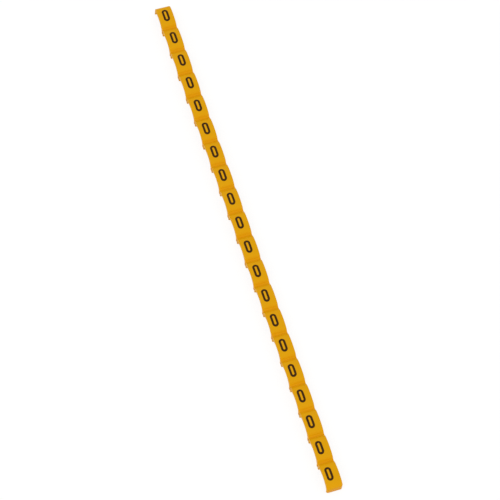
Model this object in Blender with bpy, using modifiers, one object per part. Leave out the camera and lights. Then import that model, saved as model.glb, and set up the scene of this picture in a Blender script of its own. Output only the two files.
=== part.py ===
"""Stick of clip-on cable markers, moulded in one piece and broken off one by one.

Each marker is a small saddle. Its crowned face carries one printed character, its two legs
spring over an insulated wire, and the wire lies across the stick under the arch between them.
Thin webs join the legs of neighbours under a rounded groove.

X runs across the stick, along the wire. Y runs along the stick, towards the top of the
characters. Z is up, with the feet on Z = 0. All sizes are in metres.
"""

import math

import bmesh
import bpy
from mathutils import Euler

MM = 0.001

# The stick
MARKERS = 20
MARKER_WIDTH = 2.30 * MM
END_GAP = 0.12 * MM

# The wire channel, an arch that springs from the waists of the two legs, and the walls round it
CHANNEL_WIDTH = 3.34 * MM
CHANNEL_HEIGHT = 1.40 * MM
WAIST_HEIGHT = 0.34 * MM
LEG_THICKNESS = 0.295 * MM
ROOF_THICKNESS = 0.46 * MM

# The feet: a small lip towards the wire, well rounded below it to lead the wire in
LIP_REACH = 0.05 * MM
LEAD_IN_RADIUS = 0.20 * MM

# The crowned face, and the groove and the web between neighbours
CROWN_RISE = 0.42 * MM
CROWN_END_RADIUS = 0.90 * MM
GROOVE_ROOT_RADIUS = 0.28 * MM
WEB_THICKNESS = 0.30 * MM

# Moulded edges: an edge that turns more than the angle is broken by the chamfer
EDGE_CHAMFER = 0.05 * MM
CHAMFERED_TURN = math.radians(50)

# How finely the arcs are drawn, how close two points count as one, and the smallest turn
# that is shaded as an edge
CROWN_STEPS = 5
SHOULDER_STEPS = 5
ROOT_STEPS = 3
CHANNEL_STEPS = 9
LEAD_IN_STEPS = 4
SAME_POINT = 0.0005 * MM
SHADED_TURN = math.radians(30)

# What follows from those sizes
MARKER_LENGTH = CHANNEL_WIDTH + 2 * LEG_THICKNESS
MARKER_HEIGHT = CHANNEL_HEIGHT + ROOF_THICKNESS
PITCH = MARKER_LENGTH + END_GAP

# The plastic
YELLOW = (0.72, 0.35, 0.013, 1.0)
SATIN = 0.42


def clear_scene():
    for obj in list(bpy.data.objects):
        bpy.data.objects.remove(obj, do_unlink=True)


def plastic(name, colour, roughness):
    material = bpy.data.materials.new(name)
    material.use_nodes = True
    shader = material.node_tree.nodes["Principled BSDF"]
    shader.inputs["Base Color"].default_value = colour
    shader.inputs["Roughness"].default_value = roughness
    shader.inputs["Metallic"].default_value = 0.0
    return material


def arc(centre, radius, start, end, steps):
    """Points on a circle in the section plane. Angles run from straight up towards +Y."""
    angles = [start + (end - start) * i / steps for i in range(steps + 1)]
    return [(centre[0] + radius * math.sin(a), centre[1] + radius * math.cos(a)) for a in angles]


class Crown:
    """The crowned face in section: a wide arc over the middle, then a shoulder that turns
    upright at the marker's end. The shoulder is limited to what fits above the leg's waist."""

    def __init__(self):
        half = MARKER_LENGTH / 2
        radius = (half**2 + CROWN_RISE**2) / (2 * CROWN_RISE)
        depth = radius - MARKER_HEIGHT + WAIST_HEIGHT
        room = (radius**2 - half**2 - depth**2) / (2 * (radius - half))
        self.radius = radius
        self.shoulder = min(CROWN_END_RADIUS, room)
        self.middle = (0.0, MARKER_HEIGHT - radius)
        reach = half - self.shoulder
        lift = math.sqrt((radius - self.shoulder) ** 2 - reach**2)
        self.corner = (reach, self.middle[1] + lift)
        self.meeting = math.atan2(reach, lift)

    def points(self, end=math.pi / 2):
        """From the middle outwards, down the shoulder as far as the angle given."""
        wide = arc(self.middle, self.radius, 0.0, self.meeting, CROWN_STEPS)
        shoulder = arc(self.corner, self.shoulder, self.meeting, end, SHOULDER_STEPS)
        return wide + shoulder[1:]


def face_half(joined):
    """The upper outline of half a marker, from its middle to its end. A joined half
    runs on into the groove, as far as the lowest point of the groove's round root."""
    crown = Crown()
    if not joined:
        return crown.points()
    root_radius = max(GROOVE_ROOT_RADIUS, END_GAP / 2)
    across = PITCH / 2 - crown.corner[0]
    apart = crown.shoulder + root_radius
    root = (PITCH / 2, crown.corner[1] + math.sqrt(apart**2 - across**2))
    touch = math.asin(across / apart)
    groove = arc(root, root_radius, touch - math.pi, -math.pi, ROOT_STEPS)
    return crown.points(touch) + groove[1:]


def channel_half():
    """The channel's arch, a quarter of an ellipse from its top to the waist of the leg."""
    rise = CHANNEL_HEIGHT - WAIST_HEIGHT
    angles = [math.pi / 2 * i / CHANNEL_STEPS for i in range(CHANNEL_STEPS + 1)]
    return [(CHANNEL_WIDTH / 2 * math.sin(a), WAIST_HEIGHT + rise * math.cos(a)) for a in angles]


def foot():
    """The foot of a leg, from its lip, round the lead-in, to the corner at the marker's end."""
    radius = min(LEAD_IN_RADIUS, LEG_THICKNESS, WAIST_HEIGHT)
    centre = (CHANNEL_WIDTH / 2 - LIP_REACH + radius, radius)
    lead_in = arc(centre, radius, -math.pi / 2, -math.pi, LEAD_IN_STEPS)
    return lead_in + [(MARKER_LENGTH / 2, 0.0)]


def clip_half(joined):
    """The lower outline of half a marker, from the middle of the channel's roof, down the
    inside of the leg, round its foot, and up to the web or to the marker's end."""
    outline = channel_half() + foot()
    if joined:
        web_top = face_half(True)[-1][1]
        slot = (PITCH / 2, web_top - WEB_THICKNESS - END_GAP / 2)
        outline += arc(slot, END_GAP / 2, -math.pi / 2, 0.0, ROOT_STEPS)
    return outline


def along_stick(half):
    """The outline of the whole stick, from its lower end to its upper one, made of halves.
    Only the two outermost halves aren't joined to a neighbour."""
    outline = []
    for number in range(MARKERS):
        middle = (number - (MARKERS - 1) / 2) * PITCH
        lower = half(joined=number > 0)
        upper = half(joined=number < MARKERS - 1)
        outline += [(middle - y, z) for y, z in reversed(lower)]
        outline += [(middle + y, z) for y, z in upper[1:]]
        if number < MARKERS - 1:
            outline.pop()
    return outline


def without_repeats(outline):
    """Drops a point that lies on the one before it, as where a corner arc has no wall below."""
    kept = []
    for point in outline:
        if not kept or math.dist(point, kept[-1]) > SAME_POINT:
            kept.append(point)
    return kept


def is_level(face):
    heights = [vertex.co.z for vertex in face.verts]
    return max(heights) - min(heights) < SAME_POINT


def extruded(name, outline, width):
    """The outline as a flat curve, made as thick as the marker is wide, then turned so that
    its own axes run along Y, Z and X, and kept as a mesh with one face on each side."""
    curve = bpy.data.curves.new(name, "CURVE")
    curve.dimensions = "2D"
    curve.fill_mode = "BOTH"
    curve.extrude = width / 2
    spline = curve.splines.new("POLY")
    spline.points.add(len(outline) - 1)
    for point, (y, z) in zip(spline.points, outline):
        point.co = (y, z, 0.0, 1.0)
    spline.use_cyclic_u = True
    guide = bpy.data.objects.new(name + "_outline", curve)
    guide.rotation_euler = Euler((math.pi / 2, 0.0, math.pi / 2))
    bpy.context.scene.collection.objects.link(guide)
    bpy.context.view_layer.update()

    graph = bpy.context.evaluated_depsgraph_get()
    mesh = bpy.data.meshes.new_from_object(guide.evaluated_get(graph))
    solid = bpy.data.objects.new(name, mesh)
    solid.matrix_world = guide.matrix_world.copy()
    bpy.data.objects.remove(guide, do_unlink=True)

    shape = bmesh.new()
    shape.from_mesh(mesh)
    bmesh.ops.remove_doubles(shape, verts=shape.verts, dist=SAME_POINT)
    sides = {face for face in shape.faces if is_level(face)}
    inner = [edge for edge in shape.edges if sides.issuperset(edge.link_faces)]
    bmesh.ops.dissolve_edges(shape, edges=inner, use_verts=False)
    bmesh.ops.recalc_face_normals(shape, faces=shape.faces)
    shape.to_mesh(mesh)
    shape.free()
    return solid


def chamfer_edges(solid):
    """Breaks the rims of the two sides and the outer corners of the feet, and leaves the
    arcs as they are."""
    bevel = solid.modifiers.new("moulded edges", "BEVEL")
    bevel.width = EDGE_CHAMFER
    bevel.segments = 1
    bevel.limit_method = "ANGLE"
    bevel.angle_limit = CHAMFERED_TURN


def marker_strip():
    outline = along_stick(clip_half) + along_stick(face_half)[::-1]
    strip = extruded("marker_strip", without_repeats(outline), MARKER_WIDTH)
    chamfer_edges(strip)
    strip.data.shade_smooth()
    strip.data.set_sharp_from_angle(angle=SHADED_TURN)
    strip.data.materials.clear()
    strip.data.materials.append(plastic("yellow_plastic", YELLOW, SATIN))
    return strip


def main():
    clear_scene()
    parts = bpy.data.collections.new("cable_marker_strip")
    bpy.context.scene.collection.children.link(parts)
    parts.objects.link(marker_strip())


main()
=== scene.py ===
# %% [markdown]
# # A stick of clip-on cable markers
#
# Twenty small saddles of yellow plastic are moulded side by side as one stick. A fitter
# breaks one off and presses it over a wire, and the character on its face names that wire.
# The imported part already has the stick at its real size. It is loaded here as a fixed
# frame: everything below is built in that frame, in metres, and nothing of it is moved.

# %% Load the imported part
import math

import bmesh
import bpy
from mathutils import Matrix, Vector


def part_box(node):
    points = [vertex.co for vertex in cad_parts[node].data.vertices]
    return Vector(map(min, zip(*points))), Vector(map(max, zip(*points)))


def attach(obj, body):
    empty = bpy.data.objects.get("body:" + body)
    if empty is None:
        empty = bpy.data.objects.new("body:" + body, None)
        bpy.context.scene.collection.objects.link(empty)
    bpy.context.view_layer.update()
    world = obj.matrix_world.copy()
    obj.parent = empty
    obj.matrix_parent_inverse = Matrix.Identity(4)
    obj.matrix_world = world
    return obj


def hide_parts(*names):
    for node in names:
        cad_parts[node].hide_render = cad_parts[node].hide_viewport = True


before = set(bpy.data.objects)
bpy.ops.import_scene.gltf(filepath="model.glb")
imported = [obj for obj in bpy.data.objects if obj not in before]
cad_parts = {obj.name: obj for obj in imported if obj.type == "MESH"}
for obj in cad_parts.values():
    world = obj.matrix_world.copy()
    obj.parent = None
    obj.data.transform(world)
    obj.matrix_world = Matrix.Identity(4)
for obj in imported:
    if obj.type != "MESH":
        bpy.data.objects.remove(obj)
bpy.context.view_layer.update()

MM = 0.001
low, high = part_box("marker_strip")
print("packed stick, mm:", [round(side / MM, 3) for side in high - low])

# %% [markdown]
# ## The camera
#
# The photograph looks down on the stick from its lower left, with a long lens, so that the
# far end is only a little narrower than the near one. A camera can be set by looking at a
# point from an azimuth and an elevation and then rolling about the line of sight. That
# keeps four plain numbers in the script in place of a matrix, and they can be checked
# against the outline of the stick one at a time.

# %% Camera
CAMERA_AZIMUTH = math.radians(-25.58)
CAMERA_ELEVATION = math.radians(63.13)
CAMERA_ROLL = math.radians(8.41)
CAMERA_DISTANCE = 0.3559
CAMERA_AIM = Vector((0.349, -1.738, 0.0)) * MM
SENSOR_WIDTH = 36.0
FOCAL_LENGTH = 177.22
CLIP_FACTOR = 100


def looking_from(azimuth, elevation, roll):
    """The camera's own axes. Azimuth 0 looks along +Y, and +Z of a camera points backwards."""
    level = math.cos(elevation)
    back = Vector((level * math.sin(azimuth), -level * math.cos(azimuth), math.sin(elevation)))
    right = Vector((0, 0, 1)).cross(back).normalized()
    up = back.cross(right)
    rolled_right = math.cos(roll) * right + math.sin(roll) * up
    return rolled_right, back.cross(rolled_right), back


def add_camera():
    lens = bpy.data.cameras.new("camera")
    lens.sensor_width = SENSOR_WIDTH
    lens.lens = FOCAL_LENGTH
    lens.clip_start = CAMERA_DISTANCE / CLIP_FACTOR
    lens.clip_end = CAMERA_DISTANCE * CLIP_FACTOR
    camera = bpy.data.objects.new("camera", lens)
    right, up, back = looking_from(CAMERA_AZIMUTH, CAMERA_ELEVATION, CAMERA_ROLL)
    turned = Matrix((right, up, back)).transposed().to_4x4()
    camera.matrix_world = Matrix.Translation(CAMERA_AIM + back * CAMERA_DISTANCE) @ turned
    bpy.context.scene.collection.objects.link(camera)
    bpy.context.scene.camera = camera
    return camera


camera = add_camera()
stand = camera.matrix_world.translation
print("camera stands at, mm:", [round(value / MM, 1) for value in stand])

# %% [markdown]
# ## Shader arithmetic
#
# A procedural finish is mostly arithmetic on a few patterns. Written as nodes it is hard to
# read, so one small class stands for a socket and turns +, -, * and / into Math nodes. The
# reflected forms are there too, so that 1 - mask works. A second class is the material's
# recipe, and its one method adds any other node: settings first, then the sockets.


# %% Sockets that can be added and multiplied
class Socket:
    """What comes out of a node. Arithmetic on it adds Math nodes to the same recipe."""

    def __init__(self, recipe, source):
        self.recipe = recipe
        self.source = source

    def maths(self, operation, *values):
        return self.recipe.node("Math", {"operation": operation}, dict(enumerate(values)))

    def __add__(self, other):
        return self.maths("ADD", self, other)

    __radd__ = __add__

    def __sub__(self, other):
        return self.maths("SUBTRACT", self, other)

    def __rsub__(self, other):
        return self.maths("SUBTRACT", other, self)

    def __mul__(self, other):
        return self.maths("MULTIPLY", self, other)

    __rmul__ = __mul__

    def __truediv__(self, other):
        return self.maths("DIVIDE", self, other)

    def fraction(self):
        return self.maths("FRACT", self)

    def size(self):
        return self.maths("ABSOLUTE", self)

    def falling(self, near, far):
        """1 up to near and 0 from far on, with a soft slope between them."""
        limits = {"Value": self, "From Min": near, "From Max": far, "To Min": 1.0, "To Max": 0.0}
        return self.recipe.node("MapRange", {"interpolation_type": "SMOOTHSTEP"}, limits)


class Recipe:
    """A material's node tree."""

    def __init__(self, name):
        self.material = bpy.data.materials.new(name)
        self.material.use_nodes = True
        self.tree = self.material.node_tree
        self.tree.nodes.clear()

    def node(self, kind, settings, sockets, output=0):
        made = self.tree.nodes.new("ShaderNode" + kind)
        for setting, value in settings.items():
            setattr(made, setting, value)
        for name, value in sockets.items():
            if isinstance(value, Socket):
                self.tree.links.new(value.source, made.inputs[name])
            else:
                made.inputs[name].default_value = value
        return Socket(self, made.outputs[output]) if made.outputs else None

    def place(self):
        """The place on the piece in millimetres. A piece's own axes are those of the frame."""
        metres = self.node("TexCoord", {}, {}, "Object")
        return self.node("VectorMath", {"operation": "SCALE"}, {0: metres, "Scale": 1 / MM})

    def noise(self, place, scale, detail=2.0):
        """Cloudy values round 0.5, with about `scale` clouds to the millimetre."""
        return self.node("TexNoise", {}, {"Vector": place, "Scale": scale, "Detail": detail})

    def mix(self, mask, first, second):
        settings = {"data_type": "RGBA"}
        return self.node("Mix", settings, {0: mask, 6: first, 7: second}, 2)

    def bump(self, height, depth, strength):
        sockets = {"Height": height, "Distance": depth, "Strength": strength}
        return self.node("Bump", {}, sockets)

    def finish(self, shader):
        self.node("OutputMaterial", {}, {"Surface": shader})
        return self.material


print("arithmetic ready")

# %% [markdown]
# ## The section of the stick
#
# Seen from its side the whole stick is one outline: a crowned face, a rounded groove, the
# next face, and below them the wire channels, each an arch between two legs whose feet have
# a small lip and a rounded lead-in. The stick could be cut out of a bar with Booleans, but
# every marker has the same section from side to side, so a closed outline that is pulled
# across the width gives it directly, as a mould does. The pitch, the width and the height
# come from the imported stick. The other sizes are the ones that it was made with, so that
# this stick, which has more points on every arc, keeps the same form.

# %% Sizes
MARKERS = 20
END_GAP = 0.12 * MM
MARKER_WIDTH = high.x - low.x
MARKER_HEIGHT = high.z - low.z
PITCH = (high.y - low.y + END_GAP) / MARKERS
MARKER_LENGTH = PITCH - END_GAP

CHANNEL_WIDTH = 3.34 * MM
CHANNEL_HEIGHT = 1.40 * MM
WAIST_HEIGHT = 0.34 * MM
LIP_REACH = 0.05 * MM
LEAD_IN_RADIUS = 0.20 * MM
CROWN_RISE = 0.42 * MM
CROWN_END_RADIUS = 0.90 * MM
GROOVE_ROOT_RADIUS = 0.28 * MM
WEB_THICKNESS = 0.30 * MM
print("pitch, mm:", round(PITCH / MM, 3), "marker, mm:", round(MARKER_LENGTH / MM, 3))

# %% [markdown]
# The face is a shallow arch with rounded shoulders: one wide arc over the middle and a
# smaller one on each side, which touch without a corner. Two circles touch where the line
# through their centres meets them, so the point is worked out and not drawn by eye.

# %% Arcs and the crown
CROWN_STEPS = 14
SHOULDER_STEPS = 12
ROOT_STEPS = 8


def arc(centre, radius, start, end, steps):
    """Points on a circle in the side view. Angles run from straight up towards +Y."""
    angles = [start + (end - start) * step / steps for step in range(steps + 1)]
    return [(centre[0] + radius * math.sin(a), centre[1] + radius * math.cos(a)) for a in angles]


class Crown:
    """A wide arc over the middle, and a shoulder that ends upright at the marker's end."""

    def __init__(self):
        half = MARKER_LENGTH / 2
        self.radius = (half**2 + CROWN_RISE**2) / (2 * CROWN_RISE)
        self.shoulder = CROWN_END_RADIUS
        self.middle = (0.0, MARKER_HEIGHT - self.radius)
        reach = half - self.shoulder
        lift = math.sqrt((self.radius - self.shoulder) ** 2 - reach**2)
        self.corner = (reach, self.middle[1] + lift)
        self.meeting = math.atan2(reach, lift)

    def points(self, end=math.pi / 2):
        wide = arc(self.middle, self.radius, 0.0, self.meeting, CROWN_STEPS)
        shoulder = arc(self.corner, self.shoulder, self.meeting, end, SHOULDER_STEPS)
        return wide + shoulder[1:]


CROWN = Crown()
print("crown radius, mm:", round(CROWN.radius / MM, 2))

# %% [markdown]
# The outline is made of half markers. The upper half runs from the middle of the face into
# the groove. The lower one starts at the roof of the channel, follows a quarter of an
# ellipse down to the waist of the leg, and goes round the foot and up to the web. A mirror
# image of each gives the other half, and a loop along the stick lays them end to end. Only
# the two outermost halves are closed off instead of joined.

# %% The outline along the stick
CHANNEL_STEPS = 24
LEAD_IN_STEPS = 7


def face_half(joined):
    """From the middle of the face to the marker's end, or to the lowest point of the groove."""
    if not joined:
        return CROWN.points()
    across = PITCH / 2 - CROWN.corner[0]
    apart = CROWN.shoulder + GROOVE_ROOT_RADIUS
    root = (PITCH / 2, CROWN.corner[1] + math.sqrt(apart**2 - across**2))
    touch = math.asin(across / apart)
    groove = arc(root, GROOVE_ROOT_RADIUS, touch - math.pi, -math.pi, ROOT_STEPS)
    return CROWN.points(touch) + groove[1:]


def channel_half():
    rise = CHANNEL_HEIGHT - WAIST_HEIGHT
    angles = [math.pi / 2 * step / CHANNEL_STEPS for step in range(CHANNEL_STEPS + 1)]
    return [(CHANNEL_WIDTH / 2 * math.sin(a), WAIST_HEIGHT + rise * math.cos(a)) for a in angles]


def foot():
    """From the lip, round the lead-in, to the corner at the marker's end."""
    centre = (CHANNEL_WIDTH / 2 - LIP_REACH + LEAD_IN_RADIUS, LEAD_IN_RADIUS)
    lead_in = arc(centre, LEAD_IN_RADIUS, -math.pi / 2, -math.pi, LEAD_IN_STEPS)
    return lead_in + [(MARKER_LENGTH / 2, 0.0)]


def clip_half(joined):
    """From the roof of the channel, down the leg and round its foot, to the end or the web."""
    outline = channel_half() + foot()
    if joined:
        web_top = face_half(True)[-1][1]
        slot = (PITCH / 2, web_top - WEB_THICKNESS - END_GAP / 2)
        outline += arc(slot, END_GAP / 2, -math.pi / 2, 0.0, ROOT_STEPS)
    return outline


def middle_of(number):
    """Where a marker's middle lies along the stick. Marker 0 is at the -Y end."""
    return (number - (MARKERS - 1) / 2) * PITCH


def along_stick(half):
    outline = []
    for number in range(MARKERS):
        lower = half(joined=number > 0)
        upper = half(joined=number < MARKERS - 1)
        outline += [(middle_of(number) - y, z) for y, z in reversed(lower)]
        outline += [(middle_of(number) + y, z) for y, z in upper[1:]]
        if number < MARKERS - 1:
            outline.pop()
    return outline


stick_outline = along_stick(clip_half) + along_stick(face_half)[::-1]
print("points in the outline:", len(stick_outline))

# %% [markdown]
# ## The moulded stick
#
# The mould leaves every rim a little round, because a cutter can't make a truly sharp edge
# and sharp plastic edges don't fill. A Bevel modifier with four segments rounds each edge
# that turns by more than an arc step does. Each such edge gets a weight, because the feet,
# which have to slip over a wire, are rounder than the rest. Where a wide rim meets a narrow
# one at a shallow corner, their edges cross far away, so the feet can't be much rounder
# than this before the side folds at the lip. The side is first split at every groove, which
# keeps its faces short.
#
# The upright corners of the two ends are rounder than the rims, as the photograph shows.
# Once the rims are made, the end legs are cut at a few stations and drawn in to an arc. A
# rim next to a large flat side shades badly with plain smooth normals, so last of all a
# Weighted Normal modifier makes the flat sides win.

# %% From the outline to a solid
RIM_RADIUS = 0.04 * MM
FOOT_RIM_RADIUS = 0.09 * MM
FOOT_RIM_TOP = 0.25 * MM
RIM_SEGMENTS = 4
ROUNDED_TURN = math.radians(50)
SAME_POINT = 0.0005 * MM
END_CORNER_RADIUS = 0.24 * MM
CORNER_START = (MARKERS * PITCH - END_GAP) / 2 - END_CORNER_RADIUS
CORNER_STEPS = 8


def cut_across(shape, y):
    """Cuts all faces at a place along the stick, and keeps both sides."""
    everything = shape.verts[:] + shape.edges[:] + shape.faces[:]
    bmesh.ops.bisect_plane(
        shape, geom=everything, dist=SAME_POINT, plane_co=(0, y, 0), plane_no=(0, 1, 0)
    )


def round_corners(mesh):
    """Rounds the four upright corners of the stick, as seen from above."""
    shape = bmesh.new()
    shape.from_mesh(mesh)
    for step in range(CORNER_STEPS):
        turn = math.pi / 2 * step / CORNER_STEPS
        station = CORNER_START + END_CORNER_RADIUS * math.sin(turn)
        for end in (-1, 1):
            cut_across(shape, end * station)
    for vertex in shape.verts:
        reach = min((abs(vertex.co.y) - CORNER_START) / END_CORNER_RADIUS, 1.0)
        if reach > 0:
            drawn_in = END_CORNER_RADIUS * (1 - math.sqrt(1 - reach**2))
            vertex.co.x *= 1 - drawn_in / (MARKER_WIDTH / 2)
    shape.to_mesh(mesh)
    shape.free()


def weigh_rims(shape):
    """Gives each edge that is rounded its share of the radius that the feet have."""
    weight = shape.edges.layers.float.new("bevel_weight_edge")
    for edge in shape.edges:
        if edge.calc_face_angle(0.0) > ROUNDED_TURN:
            start, end = (vertex.co for vertex in edge.verts)
            on_side = start.x * end.x > 0
            low_down = max(start.z, end.z) < FOOT_RIM_TOP
            edge[weight] = 1.0 if on_side and low_down else RIM_RADIUS / FOOT_RIM_RADIUS


def pulled_across(outline, width):
    """The outline as a flat face at one side, pulled through the width, split at each groove."""
    shape = bmesh.new()
    corners = [shape.verts.new((-width / 2, y, z)) for y, z in outline]
    side = shape.faces.new(corners)
    pulled = bmesh.ops.extrude_face_region(shape, geom=[side])
    moved = [item for item in pulled["geom"] if isinstance(item, bmesh.types.BMVert)]
    bmesh.ops.translate(shape, verts=moved, vec=(width, 0, 0))
    bmesh.ops.remove_doubles(shape, verts=shape.verts, dist=SAME_POINT)
    for number in range(1, MARKERS):
        cut_across(shape, middle_of(number) - PITCH / 2)
    bmesh.ops.recalc_face_normals(shape, faces=shape.faces)
    weigh_rims(shape)
    return shape


def as_piece(name, shape, material):
    """A finished bmesh as an object in the scene."""
    mesh = bpy.data.meshes.new(name)
    shape.to_mesh(mesh)
    shape.free()
    mesh.shade_smooth()
    mesh.materials.append(material)
    piece = bpy.data.objects.new(name, mesh)
    bpy.context.scene.collection.objects.link(piece)
    return piece


def apply_modifiers(piece):
    """Keeps the evaluated mesh, so that what is seen is what the piece holds."""
    graph = bpy.context.evaluated_depsgraph_get()
    mesh = bpy.data.meshes.new_from_object(piece.evaluated_get(graph))
    piece.modifiers.clear()
    piece.data = mesh


def moulded_stick(material):
    stick = as_piece("moulded_stick", pulled_across(stick_outline, MARKER_WIDTH), material)
    rims = stick.modifiers.new("rims", "BEVEL")
    rims.width = FOOT_RIM_RADIUS
    rims.segments = RIM_SEGMENTS
    rims.limit_method = "WEIGHT"
    rims.use_clamp_overlap = False
    apply_modifiers(stick)
    round_corners(stick.data)
    shading = stick.modifiers.new("flat sides", "WEIGHTED_NORMAL")
    shading.keep_sharp = True
    apply_modifiers(stick)
    return stick


print("rims, mm:", round(RIM_RADIUS / MM, 3), "at the feet:", round(FOOT_RIM_RADIUS / MM, 3))

# %% [markdown]
# ## The yellow plastic
#
# The plastic is dyed through and has a satin skin from an eroded mould. Up close such a
# skin has a fine grain, and the tone drifts a little where the melt flowed. Where two
# rounded shoulders meet in a groove, light bounces from yellow to yellow and comes back
# deeper: a renderer finds most of that by itself, and two faint masks paint in the rest.
# One is painted shade, a deeper orange line at the root of the groove. The other is
# painted light: it warms and brightens the shoulder on the near side of each groove, at
# the foot of each character. Both repeat with the pitch, so they come from the fraction
# of a place along the stick, which is 0 and 1 in the grooves.

# %% Yellow plastic
YELLOW = (0.73, 0.340, 0.001, 1.0)
PALE_YELLOW = (0.75, 0.368, 0.002, 1.0)
# Painted light: the warmer, brighter yellow of the shoulder on the near side of each groove.
LIT_SHOULDER_YELLOW = (0.82, 0.375, 0.001, 1.0)
# Painted shade: the deeper orange at the root of each groove.
GROOVE_SHADE_YELLOW = (0.70, 0.240, 0.001, 1.0)
FLOW_CLOUDS = 0.7
FLOW_DETAIL = 3.0
GRAIN_CLOUDS = 22.0
GRAIN_DEPTH = 0.003 * MM
PITCH_IN_MM = PITCH / MM
# How far the painted groove shade reaches from the root, and how strong it is.
GROOVE_SHADE_REACH = 0.14 / PITCH_IN_MM
GROOVE_SHADE_SHARE = 0.5
# How far the painted shoulder light reaches, and how strong it is.
LIT_SHOULDER_REACH = 1.1 / PITCH_IN_MM
LIT_SHOULDER_SHARE = 0.7
SATIN = 0.42
SATIN_DRIFT = 0.12
SATIN_GRAIN = 0.08
SKIN_RELIEF = 0.5
SKIN_GLOSS = 0.06


def yellow_plastic():
    recipe = Recipe("yellow_plastic")
    place = recipe.place()
    along = recipe.node("SeparateXYZ", {}, {0: place}, 1)
    part_way = (along / PITCH_IN_MM + MARKERS / 2).fraction()
    # Painted shade: 1 at the root of each groove, fading out within a small reach.
    root = 1 - (part_way - 0.5).size().falling(0.5 - GROOVE_SHADE_REACH, 0.5)
    # Painted light: 1 at the near side of each groove, fading out across the shoulder.
    shoulder = part_way.falling(0.0, LIT_SHOULDER_REACH)
    flow = recipe.noise(place, FLOW_CLOUDS, FLOW_DETAIL)
    tone = recipe.mix(flow, YELLOW, PALE_YELLOW)
    # The painted shoulder light goes over the tone first.
    tone_with_painted_light = recipe.mix(shoulder * LIT_SHOULDER_SHARE, tone, LIT_SHOULDER_YELLOW)
    # The painted groove shade goes over the tone last.
    colour = recipe.mix(root * GROOVE_SHADE_SHARE, tone_with_painted_light, GROOVE_SHADE_YELLOW)
    grain = recipe.noise(place, GRAIN_CLOUDS)
    skin = {
        "Base Color": colour,
        "Roughness": SATIN + (flow - 0.5) * SATIN_DRIFT + (grain - 0.5) * SATIN_GRAIN,
        "Normal": recipe.bump(grain, GRAIN_DEPTH, SKIN_RELIEF),
        "Specular IOR Level": SKIN_GLOSS,
    }
    return recipe.finish(recipe.node("BsdfPrincipled", {}, skin))


stick = moulded_stick(yellow_plastic())
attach(stick, "root")
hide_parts("marker_strip")
print("moulded stick:", len(stick.data.polygons), "faces")

# %% [markdown]
# ## The printed characters
#
# Each face carries one printed character. This stick carries a plain nought on every
# marker. The print is a film of ink about a hundredth of a millimetre thick, which follows
# the crown of the face. It could be a mask in the plastic's colour, but a film with its own
# rounded edge catches light as real ink does and stays sharp from any distance. The film is
# a ring: its middle line is a slot shape, and the same small section is carried round it.

# %% The nought
NOUGHT_WIDTH = 0.95 * MM
NOUGHT_HEIGHT = 2.05 * MM
STROKE = 0.325 * MM
FILM = 0.010 * MM
FILM_SUNK = 0.010 * MM
FILM_EDGE = 0.020 * MM
STRAIGHT_STEPS = 12
ROUND_STEPS = 20
PRINT_ABOVE_MIDDLE = 0.078 * MM
PRINT_DRIFT = -0.280 * MM
PRINT_OFFSET = 0.011 * MM


def slot_line(width, height):
    """Stations round the middle line of the ring, each with its outward direction."""
    radius = width / 2
    straight = height / 2 - radius
    stations = []
    for turn in range(2):
        heading = turn * math.pi
        side = math.cos(heading)
        for step in range(STRAIGHT_STEPS):
            y = side * straight * (2 * step / STRAIGHT_STEPS - 1)
            stations.append((Vector((side * radius, y)), Vector((side, 0))))
        for step in range(ROUND_STEPS):
            angle = heading + math.pi * step / ROUND_STEPS
            outward = Vector((math.cos(angle), math.sin(angle)))
            stations.append((Vector((0, side * straight)) + radius * outward, outward))
    return stations


def on_face(x, y, height):
    """A point that far above the crowned face, which is round along the stick."""
    angle = math.asin(y / CROWN.radius)
    reach = CROWN.radius + height
    return Vector((x, reach * math.sin(angle), CROWN.middle[1] + reach * math.cos(angle)))


def nought(x):
    """The ring of ink on a marker whose middle is at y = 0, printed x off its centre line."""
    section = [
        (-STROKE / 2, -FILM_SUNK),
        (-STROKE / 2, FILM / 2),
        (-STROKE / 2 + FILM_EDGE, FILM),
        (STROKE / 2 - FILM_EDGE, FILM),
        (STROKE / 2, FILM / 2),
        (STROKE / 2, -FILM_SUNK),
    ]
    shape = bmesh.new()
    rings = []
    for point, outward in slot_line(NOUGHT_WIDTH - STROKE, NOUGHT_HEIGHT - STROKE):
        ring = []
        for across, height in section:
            flat = point + outward * across
            place = on_face(flat.x + x, flat.y + PRINT_ABOVE_MIDDLE, height)
            ring.append(shape.verts.new(place))
        rings.append(ring)
    for ring, following in zip(rings, rings[1:] + rings[:1]):
        for corner in range(len(section)):
            beside = (corner + 1) % len(section)
            shape.faces.new((ring[corner], ring[beside], following[beside], following[corner]))
    bmesh.ops.recalc_face_normals(shape, faces=shape.faces)
    return shape


print("nought, mm:", round(NOUGHT_WIDTH / MM, 2), "x", round(NOUGHT_HEIGHT / MM, 2))

# %% [markdown]
# The ink is a brown-black that has sunk a little into the satin skin: dull, and very
# slightly uneven in tone, where the film came off the pad thicker or thinner.

# %% Ink
INK = (0.036, 0.013, 0.001, 1.0)
THIN_INK = (0.065, 0.026, 0.003, 1.0)
UNEVEN_CLOUDS = 5.0
UNEVEN_DETAIL = 3.0
DULL = 0.55
DULL_DRIFT = 0.2
INK_RELIEF = 0.3
INK_GLOSS = 0.1


def printed_ink():
    recipe = Recipe("printed_ink")
    place = recipe.place()
    uneven = recipe.noise(place, UNEVEN_CLOUDS, UNEVEN_DETAIL)
    grain = recipe.noise(place, GRAIN_CLOUDS)
    film = {
        "Base Color": recipe.mix(uneven, INK, THIN_INK),
        "Roughness": DULL + (uneven - 0.5) * DULL_DRIFT,
        "Normal": recipe.bump(grain, GRAIN_DEPTH, INK_RELIEF),
        "Specular IOR Level": INK_GLOSS,
    }
    return recipe.finish(recipe.node("BsdfPrincipled", {}, film))


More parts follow.
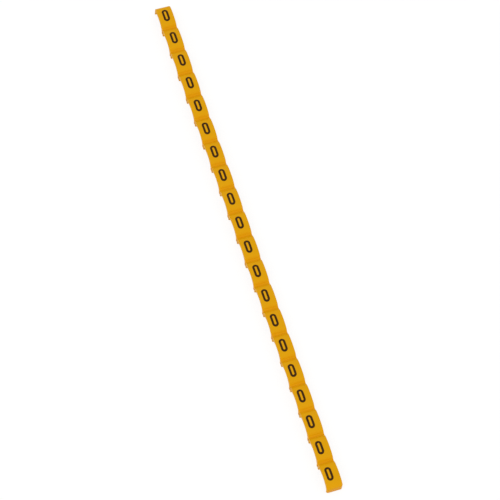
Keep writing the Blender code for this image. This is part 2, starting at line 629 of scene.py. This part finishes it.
ink = printed_ink()
for number in range(MARKERS):
    drift = PRINT_DRIFT * (1 - number / (MARKERS - 1))
    shape = nought(PRINT_OFFSET + drift)
    bmesh.ops.translate(shape, verts=shape.verts, vec=(0, middle_of(number), 0))
    print_film = as_piece(f"nought_{number + 1:02d}", shape, ink)
    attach(print_film, "root")
print("printed noughts:", MARKERS)

# %% [markdown]
# ## Floor and light
#
# The photograph was taken in a white light tent: the ground is pure white, the light comes
# from everywhere, and the end face is as bright as the top. An even white world does the
# same here, with one broad lamp to give the rounded forms a little shape. The floor has to
# be white without more light on the plastic, so a share of what the camera sees of it is
# its own plain white, and the rest is a real surface that still takes the shadow.

# %% Floor and world
FLOOR_SIZE = 3.0
FLOOR_GREY = 0.90
OWN_WHITE = 1.05
OWN_WHITE_SHARE = 0.80
WHITE = (1.0, 1.0, 1.0, 1.0)
WORLD_LEVEL = 0.85
LAMP_SIZE = 0.6
LAMP_DISTANCE = 0.8
LAMP_POWER = 1.2
LAMP_AZIMUTH = math.radians(-60)
LAMP_ELEVATION = math.radians(55)


def seen_directly(recipe):
    """1 for what the camera sees, itself or in a mirror or through glass."""
    path = "LightPath"
    names = ("Is Camera Ray", "Is Glossy Ray", "Is Transmission Ray")
    camera_ray, glossy, through = [recipe.node(path, {}, {}, name) for name in names]
    seen = camera_ray + glossy
    return seen.maths("MAXIMUM", seen, through)


def white_floor():
    recipe = Recipe("white_floor")
    grey = (FLOOR_GREY, FLOOR_GREY, FLOOR_GREY, 1.0)
    surface = recipe.node("BsdfDiffuse", {}, {"Color": grey})
    white = recipe.node("Emission", {}, {"Strength": OWN_WHITE})
    share = seen_directly(recipe) * OWN_WHITE_SHARE
    return recipe.finish(recipe.node("MixShader", {}, {0: share, 1: surface, 2: white}))


def add_floor():
    shape = bmesh.new()
    bmesh.ops.create_grid(shape, x_segments=1, y_segments=1, size=FLOOR_SIZE / 2)
    floor = as_piece("floor", shape, white_floor())


def add_world():
    world = bpy.data.worlds.new("light tent")
    world.use_nodes = True
    background = world.node_tree.nodes["Background"]
    background.inputs["Strength"].default_value = WORLD_LEVEL
    background.inputs["Color"].default_value = WHITE
    bpy.context.scene.world = world


def add_lamp(azimuth, elevation):
    light = bpy.data.lights.new("broad lamp", "AREA")
    light.size = LAMP_SIZE
    light.energy = LAMP_POWER
    lamp = bpy.data.objects.new("broad lamp", light)
    right, up, back = looking_from(azimuth, elevation, 0.0)
    turned = Matrix((right, up, back)).transposed().to_4x4()
    lamp.matrix_world = Matrix.Translation(back * LAMP_DISTANCE) @ turned
    bpy.context.scene.collection.objects.link(lamp)


add_floor()
add_world()
add_lamp(LAMP_AZIMUTH, LAMP_ELEVATION)
bpy.context.scene.view_settings.view_transform = "Standard"
print("light and floor are in place")
